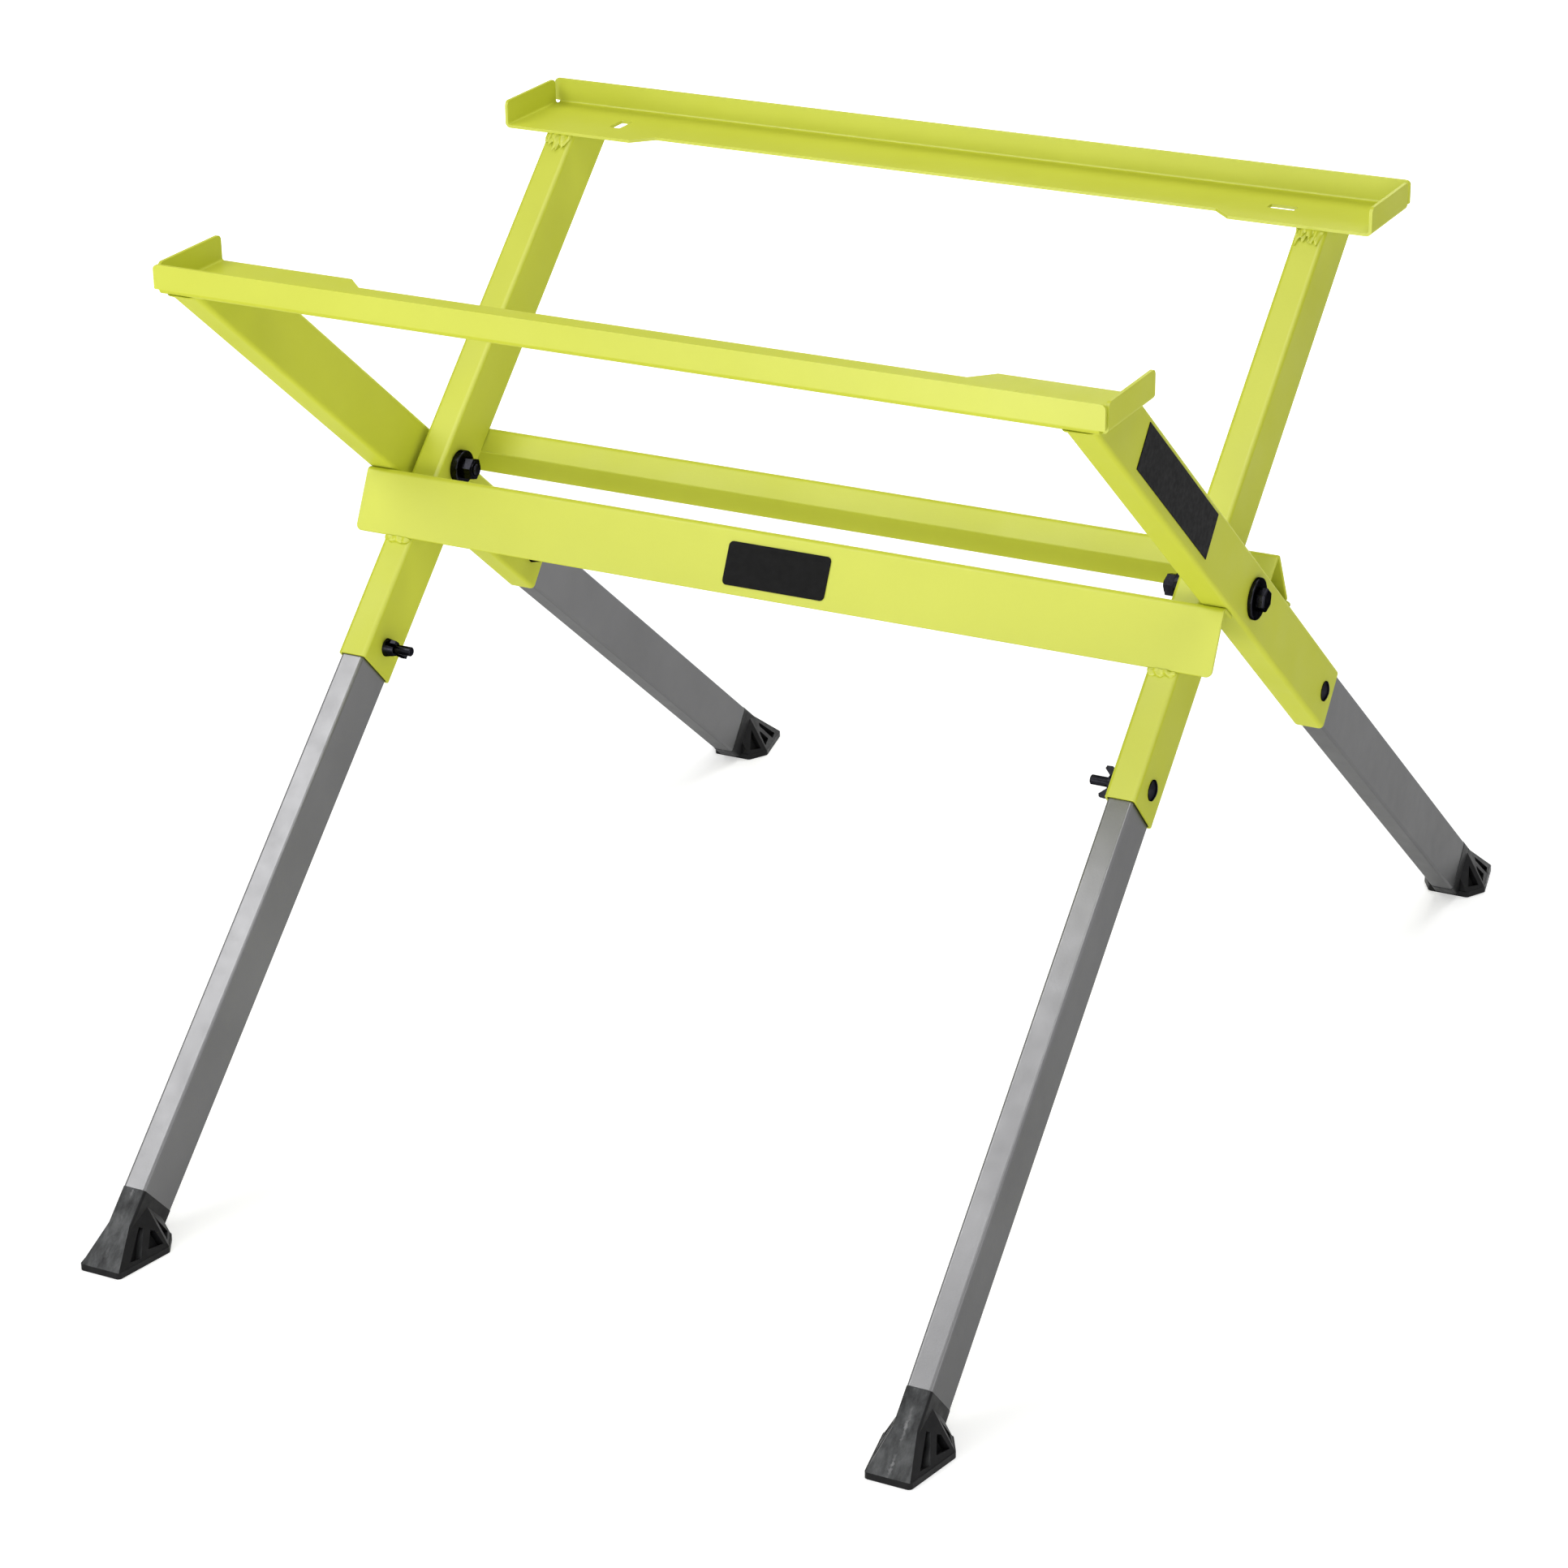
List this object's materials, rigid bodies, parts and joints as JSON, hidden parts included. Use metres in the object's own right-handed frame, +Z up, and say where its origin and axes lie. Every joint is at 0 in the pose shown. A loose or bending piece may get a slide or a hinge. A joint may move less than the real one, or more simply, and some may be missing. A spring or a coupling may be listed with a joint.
{
  "type": "table saw stand",
  "caption": "Folding steel stand for a portable table saw, with crossed green tube frames, grey legs, flat lipped rails and black moulded feet.",
  "frame": {"origin": "on the floor, midway between the outer ends of the front and rear feet and midway between the left and right feet", "axes": "+X to the right, +Y to the rear, +Z up"},
  "size_m": [0.6214, 0.9196, 0.5771],
  "materials": {
    "green": "satin",
    "grey": "satin",
    "foot_black": "matte",
    "hardware_black": "gloss",
    "plate_black": "gloss",
    "steel": "satin"
  },
  "bodies": {
    "inner_frame": {"rear_rail": "green", "inner_tube_left": "green", "inner_tube_right": "green", "front_brace": "green", "inner_sleeve_left": "steel", "inner_sleeve_right": "steel", "front_leg_left": "grey", "front_leg_right": "grey", "front_foot_left": "foot_black", "front_foot_right": "foot_black", "front_clamp_bolt_left": "hardware_black", "front_clamp_bolt_right": "hardware_black", "name_plate": "plate_black"},
    "outer_frame": {"front_rail": "green", "outer_tube_left": "green", "outer_tube_right": "green", "rear_brace": "green", "outer_sleeve_left": "steel", "outer_sleeve_right": "steel", "rear_leg_left": "grey", "rear_leg_right": "grey", "rear_foot_left": "foot_black", "rear_foot_right": "foot_black", "rear_clamp_bolt_left": "hardware_black", "rear_clamp_bolt_right": "hardware_black", "pivot_bolt_left": "hardware_black", "pivot_bolt_right": "hardware_black", "pivot_outer_washer_left": "hardware_black", "pivot_outer_washer_right": "hardware_black", "pivot_spacer_left": "steel", "pivot_spacer_right": "steel", "pivot_inner_washer_left": "hardware_black", "pivot_inner_washer_right": "hardware_black", "pivot_nut_left": "hardware_black", "pivot_nut_right": "hardware_black", "label_plate": "plate_black"},
    "front_wing_nut_left": {"front_wing_nut_left": "hardware_black"},
    "front_wing_nut_right": {"front_wing_nut_right": "hardware_black"},
    "rear_wing_nut_left": {"rear_wing_nut_left": "hardware_black"},
    "rear_wing_nut_right": {"rear_wing_nut_right": "hardware_black"}
  },
  "joints": [
    {"name": "fold", "type": "hinge", "parent": "inner_frame", "child": "outer_frame", "pos_m": [0, -0.02385, 0.3787], "axis": [-1, 0, 0], "range_deg": [0, 82.5]},
    {"name": "front_wing_turn_left", "type": "hinge", "parent": "inner_frame", "child": "front_wing_nut_left", "pos_m": [-0.2648, -0.12103, 0.28776], "axis": [1, 0, 0], "continuous": true},
    {"name": "front_wing_turn_right", "type": "hinge", "parent": "inner_frame", "child": "front_wing_nut_right", "pos_m": [0.2648, -0.12103, 0.28776], "axis": [-1, 0, 0], "continuous": true},
    {"name": "rear_wing_turn_left", "type": "hinge", "parent": "outer_frame", "child": "rear_wing_nut_left", "pos_m": [-0.2882, 0.10399, 0.27124], "axis": [1, 0, 0], "continuous": true},
    {"name": "rear_wing_turn_right", "type": "hinge", "parent": "outer_frame", "child": "rear_wing_nut_right", "pos_m": [0.2882, 0.10399, 0.27124], "axis": [-1, 0, 0], "continuous": true}
  ]
}
